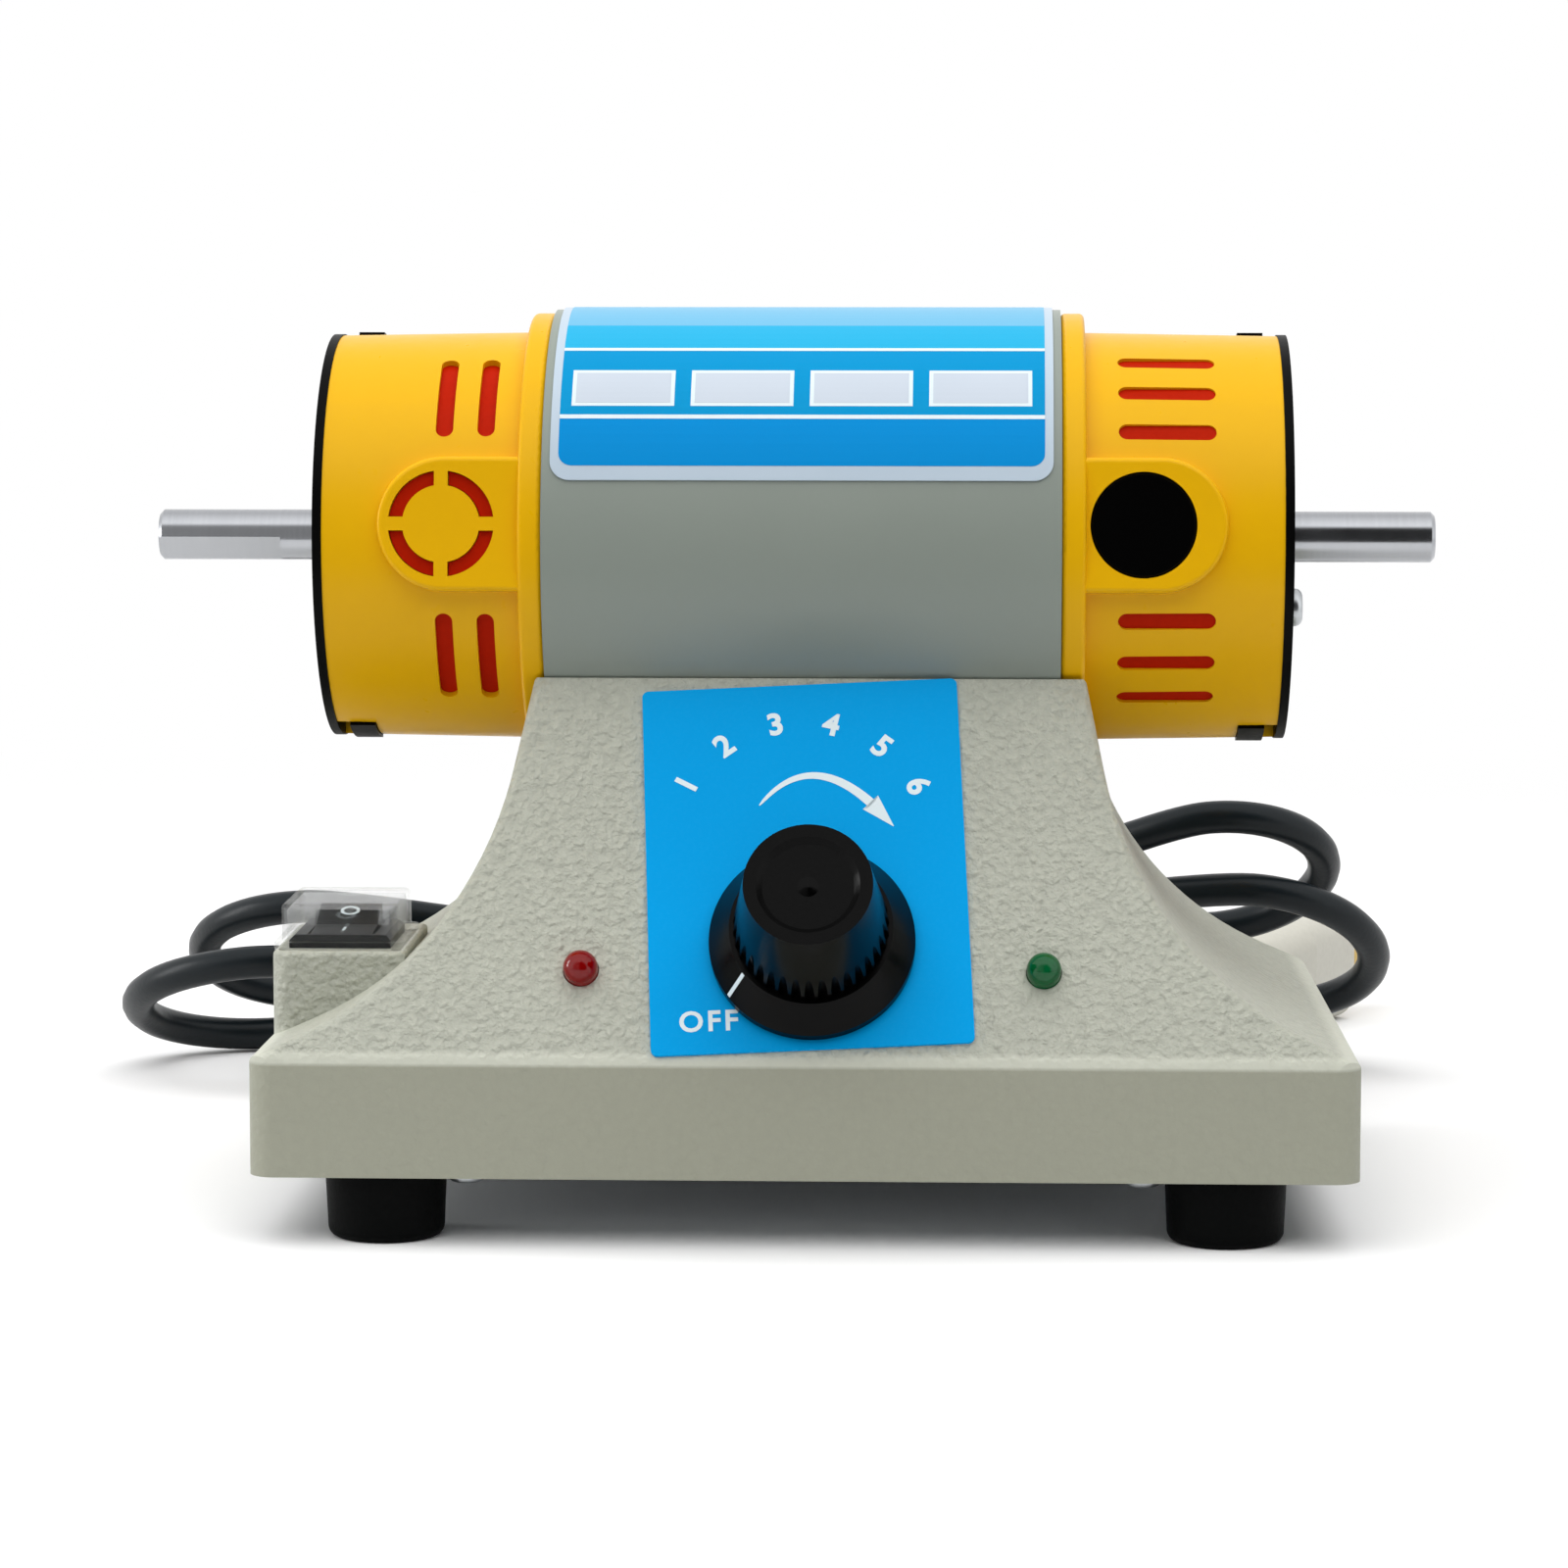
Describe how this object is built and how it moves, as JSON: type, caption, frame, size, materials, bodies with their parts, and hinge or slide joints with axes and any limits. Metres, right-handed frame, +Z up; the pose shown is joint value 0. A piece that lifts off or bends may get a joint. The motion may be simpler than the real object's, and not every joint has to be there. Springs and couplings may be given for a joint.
{
  "type": "bench polisher",
  "caption": "Small bench polishing motor with a through spindle, yellow end caps, a pedestal base, a speed knob, a covered rocker switch and a tied mains lead.",
  "frame": {"origin": "on the table under the middle of the machine, cord and plug left out", "axes": "+X along the spindle to the right end seen from the control panel, +Y to the back, +Z up"},
  "size_m": [0.2269, 0.2667, 0.1383],
  "materials": {
    "housing_grey": "fine-grained grey moulding",
    "plate_zinc": "zinc-plated sheet",
    "screw_steel": "plated steel",
    "foot_rubber": "black rubber",
    "board_green": "circuit board",
    "black_plastic": "black moulding",
    "sink_aluminium": "bare aluminium",
    "label_blue": "printed film",
    "knob_black": "black moulding",
    "brass": "bare brass",
    "lamp_red": "red lens",
    "lamp_green": "green lens",
    "cover_clear": "clear plastic",
    "tube_grey": "grey paint",
    "cap_yellow": "yellow moulding",
    "end_plate_black": "black paint",
    "lining_red": "red vulcanised fibre",
    "bearing_steel": "polished steel",
    "spindle_steel": "ground steel",
    "core_steel": "stacked sheet steel",
    "winding_copper": "varnished copper",
    "carbon": "pressed carbon",
    "cord_rubber": "black sheath",
    "plug_grey": "light grey moulding"
  },
  "bodies": {
    "machine": {"base_housing": "housing_grey", "bottom_plate": "plate_zinc", "bottom_plate_screws": "screw_steel", "rubber_feet": "foot_rubber", "foot_screws": "screw_steel", "foot_nuts": "screw_steel", "control_board": "board_green", "board_screws": "screw_steel", "board_parts": "black_plastic", "heat_sink": "sink_aluminium", "control_plate": "label_blue", "potentiometer_body": "plate_zinc", "potentiometer_nut": "brass", "red_lamp": "lamp_red", "green_lamp": "lamp_green", "switch_body": "black_plastic", "switch_terminals": "brass", "switch_cover": "cover_clear", "motor_tube": "tube_grey", "motor_label": "label_blue", "cradle_screws": "screw_steel", "left_end_cap": "cap_yellow", "right_end_cap": "cap_yellow", "left_end_plate": "end_plate_black", "right_end_plate": "end_plate_black", "left_insulating_sleeve": "lining_red", "right_insulating_sleeve": "lining_red", "end_plate_screws": "screw_steel", "tie_bolts": "screw_steel", "left_bearing_outer": "bearing_steel", "right_bearing_outer": "bearing_steel", "stator_core": "core_steel", "field_coils": "winding_copper", "brush_holders": "brass", "carbon_brushes": "carbon", "brush_springs": "bearing_steel", "front_brush_cap": "black_plastic", "rear_brush_cap": "black_plastic", "cord_gland": "cord_rubber", "cord_lead": "cord_rubber", "cord_hank": "cord_rubber", "cord_tail": "cord_rubber", "cord_tie": "black_plastic", "plug_sleeve": "cord_rubber", "mains_plug": "plug_grey", "plug_pins": "brass"},
    "spindle": {"spindle": "spindle_steel", "armature_core": "core_steel", "armature_winding": "winding_copper", "commutator": "winding_copper", "cooling_fan": "black_plastic", "left_bearing_inner": "bearing_steel", "right_bearing_inner": "bearing_steel"},
    "knob": {"speed_knob": "knob_black", "potentiometer_shaft": "sink_aluminium"},
    "rocker": {"switch_rocker": "black_plastic"}
  },
  "joints": [
    {"name": "spindle_spin", "type": "hinge", "parent": "machine", "child": "spindle", "pos_m": [0, 0.014, 0.1024], "axis": [1, 0, 0], "continuous": true},
    {"name": "knob_turn", "type": "hinge", "parent": "machine", "child": "knob", "pos_m": [0.0046, -0.03846, 0.0443], "axis": [0, 0.8616, -0.5075], "range_deg": [0, 280]},
    {"name": "rocker_tilt", "type": "hinge", "parent": "machine", "child": "rocker", "pos_m": [-0.0682, -0.0132, 0.0414], "axis": [1, 0, 0], "range_deg": [-24, 0]}
  ]
}
